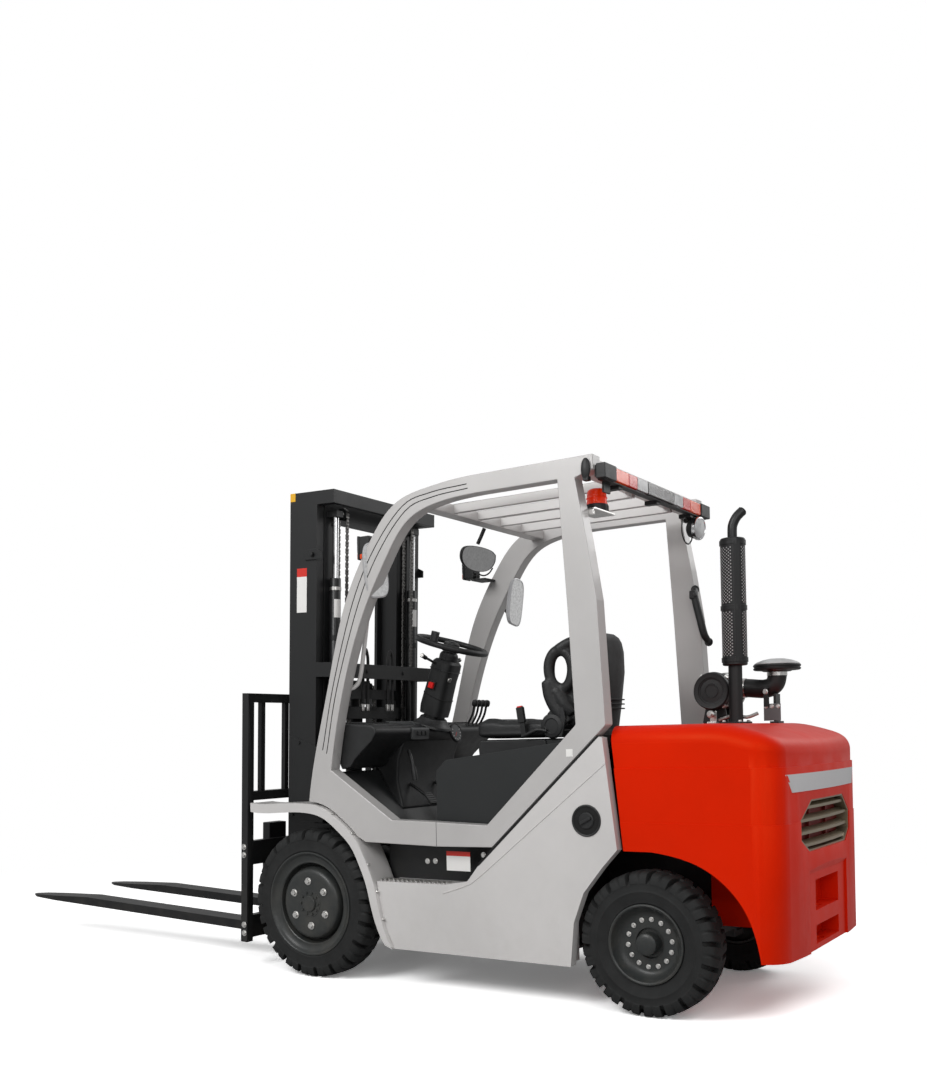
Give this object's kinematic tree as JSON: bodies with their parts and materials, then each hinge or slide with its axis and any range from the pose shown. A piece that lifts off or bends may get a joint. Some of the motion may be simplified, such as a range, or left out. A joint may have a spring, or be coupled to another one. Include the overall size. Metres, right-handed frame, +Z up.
{
  "type": "counterbalance forklift truck",
  "caption": "Counterbalance forklift truck with a three-stage lift mast, forks on a sliding carriage, overhead guard, opening engine hood with seat, and a steered rear axle.",
  "frame": {"origin": "centre of the bounding box on the ground, midway between fork tips and counterweight", "axes": "+X forward towards the fork tips, +Y left, +Z up"},
  "size_m": [4.657, 1.192, 2.2995],
  "materials": {
    "tyre": "matt moulded rubber",
    "wheel_steel": "satin black paint",
    "silver_paint": "satin light grey paint",
    "red_paint": "semi-gloss red-orange paint on a casting",
    "dark_paint": "satin anthracite",
    "black_paint": "satin black paint",
    "black_plastic": "grained black plastic",
    "seat_vinyl": "black vinyl",
    "cast_iron": "bare casting",
    "polished_rod": "hard chrome",
    "exhaust_steel": "heat-proof black",
    "lamp_plastic": "gloss"
  },
  "bodies": {
    "chassis": {"air_cleaner": "black_plastic", "counterweight": "red_paint", "dash": "black_plastic", "drive_axle": "black_paint", "engine_block": "cast_iron", "exhaust_stack": "exhaust_steel", "frame": "black_paint", "guard_left": "silver_paint", "guard_right": "silver_paint", "guard_roof": "silver_paint", "lamps": "lamp_plastic", "mirrors": "black_plastic", "rear_grille": "black_plastic", "side_panel_left": "silver_paint", "side_panel_right": "silver_paint", "steer_axle": "black_paint", "steering_column": "black_plastic"},
    "front_wheel_left": {"front_tyre_left": "tyre", "front_rim_left": "wheel_steel"},
    "front_wheel_right": {"front_tyre_right": "tyre", "front_rim_right": "wheel_steel"},
    "knuckle_left": {"knuckle_left": "black_paint"},
    "knuckle_right": {"knuckle_right": "black_paint"},
    "rear_wheel_left": {"rear_tyre_left": "tyre", "rear_rim_left": "wheel_steel"},
    "rear_wheel_right": {"rear_tyre_right": "tyre", "rear_rim_right": "wheel_steel"},
    "steering_wheel": {"steering_wheel": "black_plastic"},
    "hood": {"hood": "dark_paint", "seat_cushion": "seat_vinyl", "seat_back": "seat_vinyl"},
    "mast_outer": {"mast_outer": "black_paint", "lift_cylinders": "black_paint"},
    "mast_middle": {"mast_middle": "black_paint", "lift_rods": "polished_rod", "lift_chains": "black_paint"},
    "mast_inner": {"mast_inner": "black_paint", "free_lift_cylinder": "black_paint"},
    "free_lift_head": {"free_lift_head": "black_paint", "carriage_chains": "black_paint"},
    "carriage": {"carriage": "black_paint", "fork_left": "black_paint", "fork_right": "black_paint"},
    "tilt_barrel_left": {"tilt_cylinder_left": "black_paint"},
    "tilt_barrel_right": {"tilt_cylinder_right": "black_paint"},
    "tilt_rod_left": {"tilt_rod_left": "polished_rod"},
    "tilt_rod_right": {"tilt_rod_right": "polished_rod"}
  },
  "joints": [
    {"name": "front_spin_left", "type": "hinge", "parent": "chassis", "child": "front_wheel_left", "pos_m": [-0.09854, 0.508, 0.343], "axis": [0, 1, 0], "continuous": true},
    {"name": "front_spin_right", "type": "hinge", "parent": "chassis", "child": "front_wheel_right", "pos_m": [-0.09854, -0.508, 0.343], "axis": [0, 1, 0], "continuous": true},
    {"name": "steer_left", "type": "hinge", "parent": "chassis", "child": "knuckle_left", "pos_m": [-1.77054, 0.392, 0.283], "axis": [0, 0, 1], "range_deg": [-70, 70]},
    {"name": "rear_spin_left", "type": "hinge", "parent": "knuckle_left", "child": "rear_wheel_left", "pos_m": [-1.77054, 0.488, 0.283], "axis": [0, 1, 0], "continuous": true},
    {"name": "steer_right", "type": "hinge", "parent": "chassis", "child": "knuckle_right", "pos_m": [-1.77054, -0.392, 0.283], "axis": [0, 0, 1], "range_deg": [-70, 70]},
    {"name": "rear_spin_right", "type": "hinge", "parent": "knuckle_right", "child": "rear_wheel_right", "pos_m": [-1.77054, -0.488, 0.283], "axis": [0, 1, 0], "continuous": true},
    {"name": "steering_wheel_turn", "type": "hinge", "parent": "chassis", "child": "steering_wheel", "pos_m": [-0.52854, 0, 1.535], "axis": [-0.309, 0, 0.9511], "continuous": true},
    {"name": "hood_lid", "type": "hinge", "parent": "chassis", "child": "hood", "pos_m": [-1.57854, 0, 1.104], "axis": [0, -1, 0], "range_deg": [0, 45]},
    {"name": "mast_tilt", "type": "hinge", "parent": "chassis", "child": "mast_outer", "pos_m": [-0.09854, 0, 0.343], "axis": [0, 1, 0], "range_deg": [-6, 8]},
    {"name": "mast_lift", "type": "slide", "parent": "mast_outer", "child": "mast_middle", "axis": [-0.0384, 0, 0.9993], "range_m": [0, 1.45]},
    {"name": "inner_lift", "type": "slide", "parent": "mast_middle", "child": "mast_inner", "axis": [-0.0384, 0, 0.9993], "range_m": [0, 1.45]},
    {"name": "carriage_lift", "type": "slide", "parent": "mast_inner", "child": "carriage", "axis": [-0.0384, 0, 0.9993], "range_m": [-0.1, 1.4]},
    {"name": "free_head_lift", "type": "slide", "parent": "mast_inner", "child": "free_lift_head", "axis": [-0.0384, 0, 0.9993], "range_m": [-0.05, 0.7]},
    {"name": "tilt_swing_left", "type": "hinge", "parent": "chassis", "child": "tilt_barrel_left", "pos_m": [-0.69854, 0.25, 0.44], "axis": [0, 1, 0], "range_deg": [-5, 5]},
    {"name": "tilt_stroke_left", "type": "slide", "parent": "tilt_barrel_left", "child": "tilt_rod_left", "axis": [0.963, 0, 0.2694], "range_m": [-0.05, 0.06]},
    {"name": "tilt_swing_right", "type": "hinge", "parent": "chassis", "child": "tilt_barrel_right", "pos_m": [-0.69854, -0.25, 0.44], "axis": [0, 1, 0], "range_deg": [-5, 5]},
    {"name": "tilt_stroke_right", "type": "slide", "parent": "tilt_barrel_right", "child": "tilt_rod_right", "axis": [0.963, 0, 0.2694], "range_m": [-0.05, 0.06]}
  ],
  "couplings": [
    {"joint": "steer_right", "follows": "steer_left", "ratio": 1},
    {"joint": "inner_lift", "follows": "mast_lift", "ratio": 1},
    {"joint": "free_head_lift", "follows": "carriage_lift", "ratio": 0.5},
    {"joint": "tilt_swing_left", "follows": "mast_tilt", "ratio": 0.07009},
    {"joint": "tilt_stroke_left", "follows": "mast_tilt", "m_per_rad": 0.25392},
    {"joint": "tilt_swing_right", "follows": "mast_tilt", "ratio": 0.07009},
    {"joint": "tilt_stroke_right", "follows": "mast_tilt", "m_per_rad": 0.25392}
  ]
}
